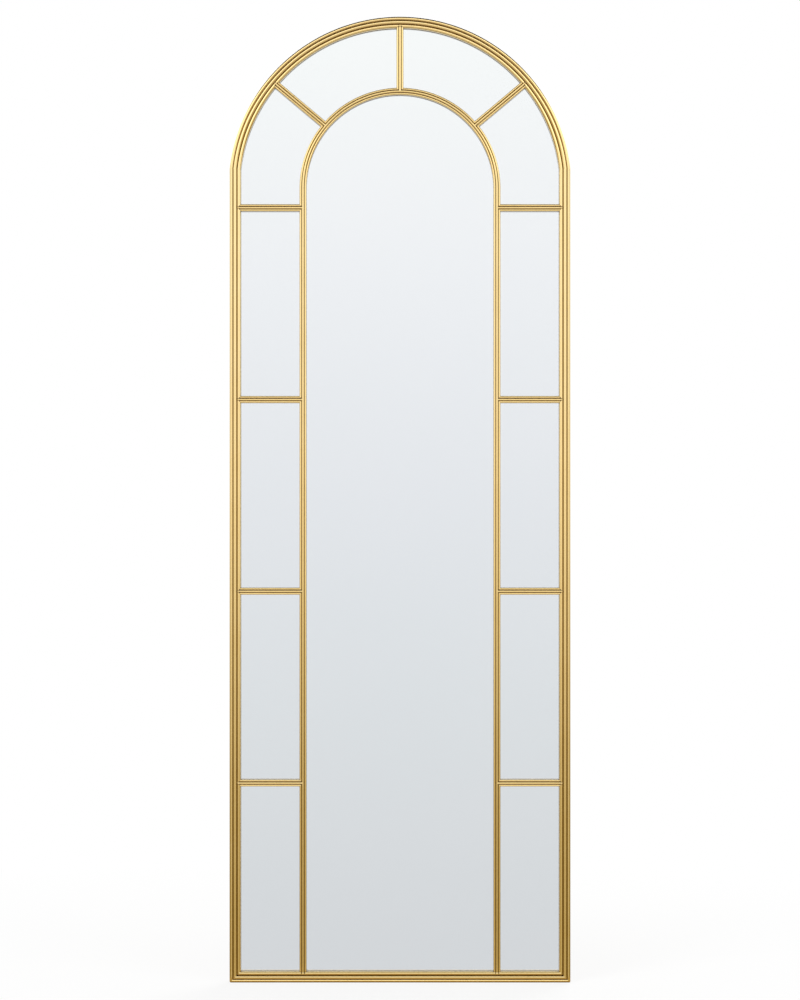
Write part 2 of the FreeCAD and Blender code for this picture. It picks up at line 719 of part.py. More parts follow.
def master_screw():
    """One pan-head screw along Y, head backwards, with a cross recess."""
    body = new_body("master_screw")
    sketch = new_sketch(body, "XY_Plane")
    point = "Worked.board_back - Sizes.screw_bite"
    crest = "Worked.screw_seat + Sizes.screw_head"
    edge = "Worked.screw_seat + Sizes.screw_head / 2"
    dome = "Sizes.screw_head / 2"
    draw(sketch, [
        ("0", point),
        ("Sizes.screw_radius", f"{point} + Sizes.screw_radius"),
        ("Sizes.screw_radius", "Worked.screw_seat"),
        ("Sizes.screw_head_radius", "Worked.screw_seat"),
        ("Sizes.screw_head_radius", edge, arc_round(f"Sizes.screw_head_radius - {dome}", edge)),
        (f"Sizes.screw_head_radius - {dome}", crest),
        ("0", crest),
    ])
    revolve(body, sketch)
    recess = new_sketch(body, "XZ_Plane", offset=f"-({crest})")
    slot, arm = "Sizes.screw_slot / 2", "(Sizes.screw_head_radius - Sizes.screw_slot)"
    quarter = [(arm, f"-{slot}"), (arm, slot), (slot, slot)]
    cross = []
    for swap, sign in ((False, 1), (True, 1), (False, -1), (True, -1)):
        for x, z in quarter:
            spot = (f"-({z})", x) if swap else (x, z)
            cross.append(tuple(f"{sign} * ({formula})" for formula in spot))
    draw(recess, cross)
    cut(body, recess, "Sizes.screw_head / 2")
    return body


def group(name, master, places):
    """Identical loose pieces as one node of separate solids."""
    copies = []
    for number, (x, z, turn) in enumerate(places, start=1):
        copy = doc.addObject("App::Link", f"{name}_{number}")
        copy.LinkedObject = master
        copies.append(place(copy, x=x, z=z, turn=turn))
    node = doc.addObject("Part::Compound", name)
    node.Label = name
    node.Links = copies
    return node


# ---------------------------------------------------------------- hangers and bumpers
def hanger_strap(label, side):
    """A strip screwed to the board, whose top is rolled into a knuckle round the ring's bar."""
    body = new_body(f"{label}_hanger_strap")
    sketch = new_sketch(body, "YZ_Plane", offset="-Sizes.strap_width / 2")
    pivot = ("Worked.ring_pivot", "0")

    def rim(radius):
        """Where the roll ends, at a radius from the pivot."""
        y = f"Worked.ring_pivot + {radius} * cos(180 - Sizes.curl_angle)"
        return (y, f"{radius} * sin(180 - Sizes.curl_angle)")

    draw(sketch, [
        ("Worked.board_back", "-Sizes.strap_length"),
        ("Worked.board_back", "0", arc_round(*pivot, clockwise=True)),
        rim("Worked.knuckle_radius"),
        (*rim("Worked.knuckle_bore"), arc_round(*pivot)),
        ("Worked.screw_seat", "0"),
        ("Worked.screw_seat", "-Sizes.strap_length"),
    ])
    pad(body, sketch, "Sizes.strap_width")
    holes = new_sketch(body, "XZ_Plane")
    for below in ("Sizes.strap_upper_screw", "Sizes.strap_lower_screw"):
        draw_circle(holes, "0", f"-{below}", "Sizes.screw_radius + Sizes.screw_clearance")
    cut(body, holes)
    place(body, x=f"{side} * Worked.hanger_offset", z="Sizes.hanger_height")
    return body


def hanging_ring(label, side):
    """A D-shaped wire ring that hangs from its straight bar, drawn round its pivot."""
    body = new_body(f"{label}_hanging_ring")
    half, bend, drop = "Sizes.ring_width / 2", "Sizes.ring_corner", "Sizes.ring_drop"
    flat = f"({half} - {bend})"
    bow = f"-({drop} - {half})"
    path = new_sketch(body, "XZ_Plane")
    draw(path, [
        ("0", "0"),
        (flat, "0", arc_round(flat, f"-{bend}", clockwise=True)),
        (half, f"-{bend}"),
        (half, bow, arc_round("0", bow, clockwise=True)),
        (f"-{half}", bow),
        (f"-{half}", f"-{bend}", arc_round(f"-{flat}", f"-{bend}", clockwise=True)),
        (f"-{flat}", "0"),
    ])
    wire = new_sketch(body, "YZ_Plane")
    draw_circle(wire, "0", "0", "Sizes.ring_wire / 2")
    doc.recompute()
    pipe = body.newObject("PartDesign::AdditivePipe", body.Name + "_pipe")
    pipe.Profile = wire
    pipe.Spine = path
    doc.recompute()
    swept = path.Shape.Length * math.pi * (size("Sizes.ring_wire") / 2) ** 2
    if abs(pipe.Shape.Volume / swept - 1) > 0.01:
        raise RuntimeError(f"{body.Name}: volume {pipe.Shape.Volume:.1f}, section times length {swept:.1f}")
    place(body, x=f"{side} * Worked.hanger_offset", y="Worked.ring_pivot", z="Sizes.hanger_height")
    return body


def bumper_spots():
    """Low and high on each side, the same distance from the frame's edge, also where it curves in."""
    spots = []
    for side in SIDES.values():
        for height in ("Sizes.bumper_lower", "Sizes.bumper_upper"):
            above = f"max(0; {height} - Worked.arch_centre)"
            reach = f"sqrt((Worked.half_width - Sizes.bumper_inset) ^ 2 - {above} ^ 2)"
            spots.append((f"{side} * {reach}", height))
    return spots


def master_bumper():
    """One rubber bumper stuck on the board, which meets the wall behind the mirror."""
    body = new_body("master_bumper")
    sketch = new_sketch(body, "XY_Plane")
    tip, rim = "Sizes.bumper_tip_radius", "Sizes.bumper_edge"
    top = "Worked.board_back + Worked.bumper_height"
    draw(sketch, [
        ("0", "Worked.board_back"),
        ("Sizes.bumper_radius", "Worked.board_back"),
        (tip, f"{top} - {rim}", arc_round(f"{tip} - {rim}", f"{top} - {rim}")),
        (f"{tip} - {rim}", top),
        ("0", top),
    ])
    revolve(body, sketch)
    return body


# ---------------------------------------------------------------- the whole mirror
def frame_members():
    rows = range(1, int(size("Sizes.side_rows")) + 1)
    members = arches() + [bottom_rail()]
    for label, side in SIDES.items():
        members += [stile(label, side), pillar(label, side)]
        members += [crossbar(label, side, row) for row in rows]
    members += [fan_bar(label, angle) for label, angle in FAN_ANGLES.items()]
    return members


def panes():
    rows = range(1, int(size("Sizes.side_rows")) + 1)
    pieces = [centre_pane()]
    for label, side in SIDES.items():
        pieces += [side_pane(label, side, row) for row in rows]
        pieces += [lower_fan_pane(label, side), upper_fan_pane(label, side)]
    return pieces


def back_and_hardware():
    clips = clip_places()
    clip_spots, strap_spots = clip_screw_spots(clips), strap_screw_spots()
    screw = master_screw()
    pieces = [
        plate("foam_sheet", rim_outline(), "Worked.foam_back", "Sizes.foam"),
        backing_board(clip_spots + strap_spots),
        group("board_clips", master_clip(), clips),
        group("clip_screws", screw, [(x, z, "0") for x, z in clip_spots]),
        group("hanger_screws", screw, [(x, z, "0") for x, z in strap_spots]),
        group("wall_bumpers", master_bumper(), [(x, z, "0") for x, z in bumper_spots()]),
    ]
    for label, side in SIDES.items():
        pieces += [hanger_strap(label, side), hanging_ring(label, side)]
    return pieces


nodes = frame_members() + panes() + back_and_hardware()
doc.recompute()

failed = [thing.Label for thing in doc.Objects if {"Invalid", "Error"} & set(thing.State)]
failed += [node.Label for node in nodes if node.Shape.isNull() or not node.Shape.isValid()]
if failed:
    raise RuntimeError(f"failed: {sorted(set(failed))}")

os.makedirs("parts", exist_ok=True)
for node in nodes:
    node.Shape.exportStep(f"parts/{node.Label}.step")
print(f"{len(nodes)} nodes, {sum(len(node.Shape.Solids) for node in nodes)} solids")
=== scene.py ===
# %% [markdown]
# # A tall arched floor mirror
# The mirror is about 1.7 m high and 0.6 m wide. Its frame is thin brass-coloured channel, rolled with
# three round reeds. Bars of a narrower channel split the front into thirteen panes of mirror. Behind
# them lie a foam sheet and a fibreboard back, held by small clips, and two rings to hang it by.
#
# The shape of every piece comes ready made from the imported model. This script dresses it: it gives each
# surface its finish, adds the small things that a workshop leaves behind, such as solder, weld spots and
# screws that never line up, and sets up a plain studio. All lengths are in metres, +Z is up and the
# front faces -Y.

from math import acos, atan2, cos, pi, radians, sin, sqrt, tau

import bmesh
import bpy
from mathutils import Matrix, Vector


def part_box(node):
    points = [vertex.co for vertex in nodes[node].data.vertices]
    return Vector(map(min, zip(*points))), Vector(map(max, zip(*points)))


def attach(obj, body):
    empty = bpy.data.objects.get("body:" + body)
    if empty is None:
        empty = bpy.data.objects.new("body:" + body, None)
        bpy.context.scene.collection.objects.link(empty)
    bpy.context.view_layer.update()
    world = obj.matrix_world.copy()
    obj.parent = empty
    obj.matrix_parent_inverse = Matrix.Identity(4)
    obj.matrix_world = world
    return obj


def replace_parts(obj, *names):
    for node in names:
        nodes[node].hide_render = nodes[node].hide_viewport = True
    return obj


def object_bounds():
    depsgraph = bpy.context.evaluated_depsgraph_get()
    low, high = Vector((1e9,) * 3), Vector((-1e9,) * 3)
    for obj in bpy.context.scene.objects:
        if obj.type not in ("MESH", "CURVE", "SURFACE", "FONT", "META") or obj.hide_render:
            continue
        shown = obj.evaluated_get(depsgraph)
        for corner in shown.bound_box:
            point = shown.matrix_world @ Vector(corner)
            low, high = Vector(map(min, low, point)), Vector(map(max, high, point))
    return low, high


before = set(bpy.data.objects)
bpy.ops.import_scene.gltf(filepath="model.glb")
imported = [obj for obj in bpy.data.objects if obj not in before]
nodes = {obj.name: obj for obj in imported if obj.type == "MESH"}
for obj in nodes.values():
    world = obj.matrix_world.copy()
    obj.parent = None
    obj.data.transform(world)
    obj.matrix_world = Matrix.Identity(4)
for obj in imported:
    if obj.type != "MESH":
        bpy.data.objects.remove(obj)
cad_low, cad_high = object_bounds()
MM = 0.001
print(f"{len(nodes)} CAD nodes in a box of {[round(v, 4) for v in cad_high - cad_low]}")

# %% [markdown]
# ## Where things are
# A dressed piece has to sit exactly on what carries it, so its place is read from the model and not
# typed in. A node's lowest and highest corner are enough for most of them: the middle pane gives the
# plane of the glass, the inner arch starts at the arches' common centre, and the upright fan bar runs
# from the inner arch to the head.

# %% Read the main places
GLASS_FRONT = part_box("centre_pane")[0].y
BOARD_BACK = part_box("backing_board")[1].y
ARCH_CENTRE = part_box("inner_arch")[0].z
FAN_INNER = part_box("centre_fan_bar")[0].z - ARCH_CENTRE
FAN_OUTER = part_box("centre_fan_bar")[1].z - ARCH_CENTRE
FAN_ANGLES = [radians(angle) for angle in (-50, 0, 50)]
SIDES = {"left": -1, "right": 1}
ROWS = range(1, 5)
print(f"glass at y {GLASS_FRONT / MM:.1f} mm, arches round z {ARCH_CENTRE / MM:.0f} mm")

# %% [markdown]
# ## Finishes
# Each finish is a node material on Object coordinates, because every piece here keeps its place in its
# mesh, so a pattern measured in metres has the same scale on all of them and never slides. Whatever is
# the same all over a surface stays on the shader's own socket. Finishes, small shapes and the room are
# all trees of nodes, so one short class that adds a node and wires it serves all three.

# %% Wiring for every kind of node tree
class Wiring:
    """A node tree under construction."""

    def __init__(self, tree):
        self.tree = tree

    def add(self, kind, sockets=(), **settings):
        """One node. Sockets maps an input's name or number to a value or to another node's output."""
        node = self.tree.nodes.new(kind)
        for name, value in settings.items():
            setattr(node, name, value)
        for socket, value in dict(sockets).items():
            self.feed(node.inputs[socket], value)
        return node

    def feed(self, socket, value):
        """Sets an input, or links it where the value is another node's output."""
        if isinstance(value, bpy.types.NodeSocket):
            self.tree.links.new(value, socket)
        else:
            socket.default_value = value


# %% Helpers for node materials
def linear(red, green, blue):
    """A colour as a screen shows it, 0 to 255, as the light values that nodes expect."""
    shares = [value / 255 for value in (red, green, blue)]
    return tuple(s / 12.92 if s <= 0.04045 else ((s + 0.055) / 1.055) ** 2.4 for s in shares) + (1,)


class Finish(Wiring):
    """A material under construction: one Principled shader and the nodes that feed it."""

    def __init__(self, name, **constants):
        self.material = bpy.data.materials.new(name)
        self.material.use_nodes = True
        super().__init__(self.material.node_tree)
        self.shader = self.tree.nodes["Principled BSDF"]
        for socket, value in constants.items():
            self.shader.inputs[socket.replace("_", " ")].default_value = value
        self.place = self.add("ShaderNodeTexCoord").outputs["Object"]

    def noise(self, size, detail=2, stretch=(1, 1, 1)):
        """Cloudy values from 0 to 1 whose lumps are about one size, drawn out along an axis by stretch."""
        spot = self.add("ShaderNodeVectorMath", {0: self.place, 1: stretch}, operation="DIVIDE")
        sockets = {"Vector": spot.outputs[0], "Scale": 1 / size, "Detail": detail}
        return self.add("ShaderNodeTexNoise", sockets).outputs["Fac"]

    def cells(self, size, output="Distance"):
        """A field of random cells about one size across."""
        sockets = {"Vector": self.place, "Scale": 1 / size}
        return self.add("ShaderNodeTexVoronoi", sockets).outputs[output]

    def span(self, value, start, end, low=0, high=1):
        """Maps start to end onto low to high, and holds the ends."""
        sockets = {"Value": value, "From Min": start, "From Max": end, "To Min": low, "To Max": high}
        return self.add("ShaderNodeMapRange", sockets).outputs[0]

    def mix(self, share, first, second, blend="MIX"):
        """Two colours mixed by a share from 0 to 1."""
        sockets = {0: share, 6: first, 7: second}
        return self.add("ShaderNodeMix", sockets, data_type="RGBA", blend_type=blend).outputs[2]

    def recesses(self, reach):
        """1 in the open and lower in grooves and corners narrower than the reach: the mask for painted
        shade.
        """
        return self.add("ShaderNodeAmbientOcclusion", {"Distance": reach}, samples=8).outputs["AO"]

    def colour(self, value):
        self.feed(self.shader.inputs["Base Color"], value)

    def roughness(self, value):
        self.feed(self.shader.inputs["Roughness"], value)

    def relief(self, height, depth):
        """Fine relief of a real depth."""
        bump = self.add("ShaderNodeBump", {"Height": height, "Distance": depth, "Strength": 1.0})
        self.feed(self.shader.inputs["Normal"], bump.outputs[0])

    def done(self):
        """The finished material."""
        print(f"{self.material.name}: {len(self.tree.nodes)} nodes")
        return self.material


FINISHES = {}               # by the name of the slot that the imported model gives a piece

# %% [markdown]
# ### Gold lacquer
# The channel is roll-formed steel with a metallic gold coat under clear lacquer. Close up the lacquer has
# a faint orange peel. The grooves between the reeds get painted shade: their colour is darkened to brown
# where the Ambient Occlusion node finds them, on every moulding without being told where they are.

# %% Gold lacquer
def gold_lacquer():
    finish = Finish("gold_lacquer", Metallic=1.0, Coat_Weight=0.8, Coat_Roughness=0.05)
    cloud = finish.noise(90 * MM, detail=3)
    speck = finish.noise(1.4 * MM, detail=1)
    gold = finish.mix(finish.span(cloud, 0.3, 0.7), linear(236, 205, 138), linear(240, 211, 147))
    gold = finish.mix(finish.span(speck, 0.62, 0.8, 0, 0.1), gold, linear(247, 226, 172))
    # Painted shade: the grooves and corners that the Ambient Occlusion node finds are darkened to brown.
    groove_shade = finish.span(finish.recesses(3.6 * MM), 0.3, 0.92, 1, 0)
    finish.colour(finish.mix(groove_shade, gold, linear(104, 70, 18)))
    finish.roughness(finish.span(finish.noise(6 * MM), 0.3, 0.7, 0.09, 0.15))
    finish.relief(finish.noise(0.9 * MM, detail=1), 0.002 * MM)
    return finish.done()


FINISHES["gold_metal"] = gold_lacquer()

# %% [markdown]
# ### Glass and silver
# A mirror is a film of silver on the back of a clear plate. Modelled that way, the frame's inner wall
# is seen twice with the thickness of the glass between, which draws the dark line round each pane. The
# plate is clear glass with the faint green of iron in it. The silver is a metal with next to no
# roughness, with a haze that is only just there, in clouds of a hand's width.

# %% Clear plate
def clear_plate():
    finish = Finish("clear_plate", Transmission_Weight=1.0, IOR=1.52, Roughness=0.0)
    iron = finish.noise(400 * MM, detail=0)
    finish.colour(finish.mix(iron, linear(250, 253, 252), linear(252, 254, 253)))
    return finish.done()


FINISHES["mirror_glass"] = clear_plate()

# %% Silver film
def silver_film():
    finish = Finish("silver_film", Metallic=1.0)
    tint = finish.noise(240 * MM, detail=1)
    finish.colour(finish.mix(tint, linear(250, 251, 251), linear(252, 252, 252)))
    haze = finish.noise(120 * MM, detail=3, stretch=(1, 1, 3))
    finish.roughness(finish.span(haze, 0.35, 0.75, 0.0, 0.01))
    return finish.done()


SILVER = silver_film()

# %% [markdown]
# ### Fibreboard, foam, zinc, brassed steel and rubber
# Behind the glass everything is plain hardware. Fibreboard is a felt of wood fibres: mottled brown with
# darker flecks. Zinc plate shows its crystals as faint cells. Brassed steel is a thin, slightly dull
# plating. Moulded rubber is nearly black and matt, and the foam sheet is white with a closed-cell skin.

# %% Fibreboard
def fibreboard():
    finish = Finish("fibreboard", Specular_IOR_Level=0.3)
    mottle = finish.noise(45 * MM, detail=4)
    brown = finish.mix(finish.span(mottle, 0.3, 0.7), linear(150, 116, 82), linear(170, 134, 97))
    fibres = finish.noise(1.1 * MM, detail=3, stretch=(2.2, 1, 1))
    brown = finish.mix(finish.span(fibres, 0.35, 0.6, 0.55, 0), brown, linear(104, 76, 50))
    flecks = finish.noise(3.2 * MM, detail=2, stretch=(1, 1, 1.8))
    brown = finish.mix(finish.span(flecks, 0.66, 0.74, 0, 0.5), brown, linear(70, 50, 34))
    # Painted shade: the corners that the Ambient Occlusion node finds are darkened towards a dark brown.
    corner = finish.span(finish.recesses(9 * MM), 0.3, 1, 0.35, 0)
    finish.colour(finish.mix(corner, brown, linear(58, 42, 30)))
    finish.roughness(finish.span(mottle, 0.3, 0.7, 0.62, 0.8))
    finish.relief(fibres, 0.05 * MM)
    return finish.done()


FINISHES["board"] = fibreboard()

# %% Foam sheet
def closed_cell_foam():
    finish = Finish("closed_cell_foam", Subsurface_Weight=0.1, Subsurface_Scale=0.5 * MM)
    cells = finish.cells(1.6 * MM)
    finish.colour(finish.mix(cells, linear(236, 236, 232), linear(214, 214, 209)))
    finish.roughness(finish.span(cells, 0, 0.6, 0.45, 0.7))
    finish.relief(cells, 0.1 * MM)
    return finish.done()


FINISHES["foam"] = closed_cell_foam()

# %% Zinc plate
def zinc_plate():
    finish = Finish("zinc_plate", Metallic=1.0)
    crystals = finish.cells(2.4 * MM, output="Color")
    grey = finish.mix(0.12, linear(196, 199, 201), crystals, blend="SOFT_LIGHT")
    dull = finish.noise(5 * MM, detail=4)
    finish.colour(finish.mix(finish.span(dull, 0.4, 0.8, 0, 0.5), grey, linear(150, 152, 153)))
    finish.roughness(finish.span(dull, 0.3, 0.75, 0.26, 0.46))
    finish.relief(finish.noise(0.5 * MM, detail=2), 0.006 * MM)
    return finish.done()


FINISHES["zinc"] = zinc_plate()

# %% Brassed steel
def brassed_steel():
    finish = Finish("brassed_steel", Metallic=1.0)
    cloud = finish.noise(7 * MM, detail=3)
    brass = finish.mix(finish.span(cloud, 0.3, 0.75), linear(226, 190, 112), linear(205, 164, 88))
    # Painted shade: the corners that the Ambient Occlusion node finds are darkened to brown.
    corner = finish.span(finish.recesses(3 * MM), 0.4, 1, 0.6, 0)
    finish.colour(finish.mix(corner, brass, linear(110, 80, 36)))
    finish.roughness(finish.span(cloud, 0.3, 0.75, 0.18, 0.34))
    finish.relief(finish.noise(0.6 * MM, detail=1), 0.005 * MM)
    return finish.done()


FINISHES["brassed_steel"] = brassed_steel()

# %% Moulded rubber
def moulded_rubber():
    finish = Finish("moulded_rubber", Specular_IOR_Level=0.35)
    bloom = finish.noise(4 * MM, detail=4)
    finish.colour(finish.mix(finish.span(bloom, 0.35, 0.8), linear(38, 38, 39), linear(58, 57, 56)))
    finish.roughness(finish.span(bloom, 0.3, 0.7, 0.5, 0.72))
    finish.relief(finish.noise(0.35 * MM, detail=1), 0.02 * MM)
    return finish.done()


FINISHES["rubber"] = moulded_rubber()

# %% Give every CAD node its finish
for node in nodes.values():
    slot_name = node.data.materials[0].name.split(".")[0]
    node.data.materials[0] = FINISHES[slot_name]
print(f"{len(FINISHES)} finishes on {len(nodes)} nodes")

# %% [markdown]
# ## The silver behind each pane
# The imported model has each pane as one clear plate. Its silver is a film on the back face, so the film
# takes its outline from that face: the back faces are copied, moved just inside the glass and given a
# thickness, which closes them into a thin solid.

# %% Silver films
FILM = 0.04 * MM
SAME_PLACE = 0.002 * MM     # corners that are no further apart than this are one corner
FACES_BACK = 0.99           # the least y of a normal that points straight back


def merged_copy(name):
    """A node's mesh to work on. The node's triangles are loose, so their corners are joined first."""
    shape = bmesh.new()
    shape.from_mesh(nodes[name].data)
    bmesh.ops.remove_doubles(shape, verts=shape.verts, dist=SAME_PLACE)
    return shape


def in_scene(name, data):
    """A new object at the origin for a mesh, a lamp or a camera."""
    item = bpy.data.objects.new(name, data)
    bpy.context.collection.objects.link(item)
    return item


def silver_behind(name):
    """The film just inside a pane's back face. Gives its number of faces."""
    plate = merged_copy(name)
    others = [face for face in plate.faces if face.normal.y < FACES_BACK]
    bmesh.ops.delete(plate, geom=others, context="FACES")
    for vert in plate.verts:
        vert.co.y -= FILM
    film = bmesh.ops.extrude_face_region(plate, geom=plate.faces[:])
    for vert in film["geom"]:
        if isinstance(vert, bmesh.types.BMVert):
            vert.co.y -= FILM
    bmesh.ops.recalc_face_normals(plate, faces=plate.faces)
    mesh = bpy.data.meshes.new(name + "_silver")
    plate.to_mesh(mesh)
    plate.free()
    mesh.materials.append(SILVER)
    piece = in_scene(name + "_silver", mesh)
    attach(piece, "mirror")
    return len(mesh.polygons)


films = [silver_behind(name) for name in sorted(nodes) if "pane" in name]
print(f"{len(films)} silver films, {sum(films)} faces")

# %% [markdown]
# ## Small things that repeat
# Solder at every joint, screws and weld spots repeat the same little shape many times, and no two of
# them sit quite alike. Geometry Nodes suit that: a tree makes the shape once, sets a copy on each point
# of a carrier mesh, turns and scales the copies by a fixed seed, and gives back one plain mesh.

# %% Helpers for shape trees
class Maker(Wiring):
    """A Geometry Nodes tree under construction, with named inputs for its sizes."""

    def __init__(self, name):
        super().__init__(bpy.data.node_groups.new(name, "GeometryNodeTree"))
        sockets = self.tree.interface
        sockets.new_socket("Shape", in_out="OUTPUT", socket_type="NodeSocketGeometry")
        sockets.new_socket("Carrier", in_out="INPUT", socket_type="NodeSocketGeometry")
        self.entry = self.tree.nodes.new("NodeGroupInput")
        self.carrier = self.entry.outputs["Carrier"]
        self.values = {}

    def size(self, name, value):
        """A named input with the value that this mirror needs."""
        socket = self.tree.interface.new_socket(name, in_out="INPUT", socket_type="NodeSocketFloat")
        self.values[socket.identifier] = value
        return self.entry.outputs[name]

    def maths(self, operation, *values):
        return self.add("ShaderNodeMath", dict(enumerate(values)), operation=operation).outputs[0]

    def vector(self, x, y, z):
        return self.add("ShaderNodeCombineXYZ", {0: x, 1: y, 2: z}).outputs[0]

    def placed(self, shape, **sockets):
        """The shape moved, turned or scaled."""
        sockets = {name.title(): value for name, value in sockets.items()}
        return self.add("GeometryNodeTransform", {0: shape, **sockets}).outputs[0]

    def carved(self, shape, tools):
        """The shape with the tools' volumes cut out of it."""
        cut = self.add("GeometryNodeMeshBoolean", {0: shape}, operation="DIFFERENCE", solver="EXACT")
        for tool in tools:
            self.feed(cut.inputs[1], tool)
        return cut.outputs[0]

    def finish(self, shape, material, sharp=radians(35)):
        """Closes the tree: real geometry, smooth shading but for sharp edges, and the finish."""
        real = self.add("GeometryNodeRealizeInstances", {0: shape})
        smooth = self.add("GeometryNodeSetShadeSmooth", {0: real.outputs[0]})
        angle = self.add("GeometryNodeInputMeshEdgeAngle").outputs[0]
        edge = self.maths("GREATER_THAN", angle, sharp)
        sockets = {0: smooth.outputs[0], "Selection": edge, "Shade Smooth": False}
        crisp = self.add("GeometryNodeSetShadeSmooth", sockets, domain="EDGE")
        dressed = self.add("GeometryNodeSetMaterial", {"Geometry": crisp.outputs[0], "Material": material})
        self.add("NodeGroupOutput", {0: dressed.outputs[0]})

    def make(self, name, points, body, slot, closed=False):
        """Runs the tree on points, each (place, {value name: value}), and returns one plain piece."""
        mesh = bpy.data.meshes.new(name)
        loop = [(i, (i + 1) % len(points)) for i in range(len(points))] if closed else []
        mesh.from_pydata([place for place, values in points], loop, [])
        for value_name in points[0][1]:
            layer = mesh.attributes.new(value_name, "FLOAT", "POINT")
            layer.data.foreach_set("value", [values[value_name] for place, values in points])
        piece = in_scene(name, mesh)
        modifier = piece.modifiers.new("maker", "NODES")
        modifier.node_group = self.tree
        for identifier, value in self.values.items():
            modifier[identifier] = value
        graph = bpy.context.evaluated_depsgraph_get()
        made = bpy.data.meshes.new_from_object(piece.evaluated_get(graph), depsgraph=graph)
        piece.modifiers.remove(modifier)
        piece.data = made
        made.name = name
        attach(piece, body)
        print(f"{name}: {len(points)} points gave {len(made.polygons)} faces")
        return piece


# %% [markdown]
# ### The two arches
# A polished arch shows the smallest fault in its shading, and the model's arches are made of slivers that
# shade unevenly. Both arches are one section bent round a centre, so a tree can make them cleanly: it
# takes the section, sweeps it along an arc and cuts the notches for the fan bars. The section is read
# where the same moulding runs straight, in a stile and in a pillar, halfway between two crossbars.

# %% Read a moulding's section
def section(name, height):
    """The outline of a moulding cut through at a height: its corners in order, as (x, y)."""
    shape = merged_copy(name)
    geometry = [*shape.verts, *shape.edges, *shape.faces]
    sliced = bmesh.ops.bisect_plane(shape, geom=geometry, plane_co=(0, 0, height), plane_no=(0, 0, 1))
    rim = [item for item in sliced["geom_cut"] if isinstance(item, bmesh.types.BMVert)]
    here, corners = min(rim, key=lambda vert: tuple(vert.co)), []
    while here is not None:
        corners.append(Vector((abs(here.co.x), here.co.y)))
        rim.remove(here)
        beside = [edge.other_vert(here) for edge in here.link_edges]
        here = next((vert for vert in beside if vert in rim), None)
    shape.free()
    return only_turns(corners)


def only_turns(corners, least=radians(7)):
    """The corners at which the outline has turned enough since the last one that was kept."""
    kept, heading = [], corners[0] - corners[-1]
    for here, after in zip(corners, corners[1:] + corners[:1]):
        ahead = after - here
        if ahead.length > SAME_PLACE and heading.angle(ahead) > least:
            kept.append(here)
            heading = ahead
    area = sum(a.x * b.y - b.x * a.y for a, b in zip(kept, kept[1:] + kept[:1])) / 2
    return kept if area > 0 else kept[::-1]


BETWEEN_ROWS = (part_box("left_crossbar_2")[0].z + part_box("left_crossbar_3")[1].z) / 2
wide_section = section("left_stile", BETWEEN_ROWS)
narrow_section = section("left_pillar", BETWEEN_ROWS)
print(f"sections of {len(wide_section)} and {len(narrow_section)} corners")


# %% Bend the arches
ARC_STEPS = 144
NOTCH_SIDE = 20 * MM        # of the square block that cuts a notch, wider than a bar
NOTCH_DEPTH = 60 * MM       # from front to back, more than the frame's


def arch_maker(name, lift, bend, lean, notch_tip, opens):
    """A section swept on an arc, with the fan bars' notches opening outwards (1) or inwards (-1)."""
    maker = Maker(name)
    radius = maker.size("Bend radius", bend)
    from_level = maker.size("Lean", lean)
    tip = maker.size("Notch tip", notch_tip)
    side = maker.size("Notch side", NOTCH_SIDE)
    sweep = maker.maths("SUBTRACT", pi, maker.maths("MULTIPLY", from_level, 2.0))
    bow = {"Resolution": ARC_STEPS, "Radius": radius, "Start Angle": from_level, "Sweep Angle": sweep}
    arc = maker.add("GeometryNodeCurveArc", bow)
    level = maker.add("GeometryNodeSetCurveNormal", {0: arc.outputs[0]}, mode="Z_UP")
    outline = maker.add("GeometryNodeMeshToCurve", {0: maker.carrier})
    sockets = {"Curve": level.outputs[0], "Profile Curve": outline.outputs[0], "Fill Caps": True}
    swept = maker.add("GeometryNodeCurveToMesh", sockets)
    upright = maker.placed(swept.outputs[0], rotation=(radians(90), 0, 0))

    block = maker.add("GeometryNodeMeshCube", {"Size": maker.vector(side, NOTCH_DEPTH, side)})
    corner_up = maker.placed(block.outputs[0], rotation=(0, radians(45), 0))
    reach = maker.maths("MULTIPLY", side, opens / sqrt(2))
    out = maker.vector(0.0, 0.0, maker.maths("ADD", tip, reach))
    lifted = maker.placed(corner_up, translation=out)
    cut = maker.carved(upright, [maker.placed(lifted, rotation=(0, angle, 0)) for angle in FAN_ANGLES])
    maker.finish(maker.placed(cut, translation=(0, 0, lift)), FINISHES["gold_metal"])
    return maker


def bent_arch(node, corners, outer, lean, notch_tip, opens):
    """The section laid with its outer edge at the arch's outer radius, then bent."""
    edge = max(corner.x for corner in corners)
    points = [((corner.x - edge, corner.y, 0), {}) for corner in corners]
    maker = arch_maker(f"bent_{node}", ARCH_CENTRE, outer, lean, notch_tip, opens)
    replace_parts(maker.make(f"bent_{node}", points, "mirror", "gold_metal", closed=True), node)


HEAD_RADIUS = cad_high.z - ARCH_CENTRE
INNER_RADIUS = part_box("inner_arch")[1].x
HEAD_LEAN = acos(cad_high.x / HEAD_RADIUS)
bent_arch("arch_head", wide_section, HEAD_RADIUS, HEAD_LEAN, FAN_OUTER, -1)
bent_arch("inner_arch", narrow_section, INNER_RADIUS, 0.0, FAN_INNER, 1)

# %% [markdown]
# ### Solder at the joints
# Every bar ends in a point that is let into its neighbour, and the point is run full of solder before
# the lacquer goes on. What shows is a small smooth blob where the reeds meet. The blobs lie along the
# bars, so each joint is a place, a direction and a bulk: larger against the wide frame, smaller where
# thin bars meet.

# %% Where the joints are
GROOVE = GLASS_FRONT - 6.6 * MM     # where a blob's middle lies, in front of the glass
SMALL_BULK = 1.0
LARGE_BULK = 1.5
SMALL_SETBACK = 0.4 * MM            # from the end of a bar to its blob, against a thin neighbour
LARGE_SETBACK = 2.6 * MM            # the same against the wide frame


def joint(x, z, turn, bulk):
    """One blob: its place in the front view, its bar's direction from upright and its size."""
    return ((x, GROOVE, z), {"turn": turn, "bulk": bulk})


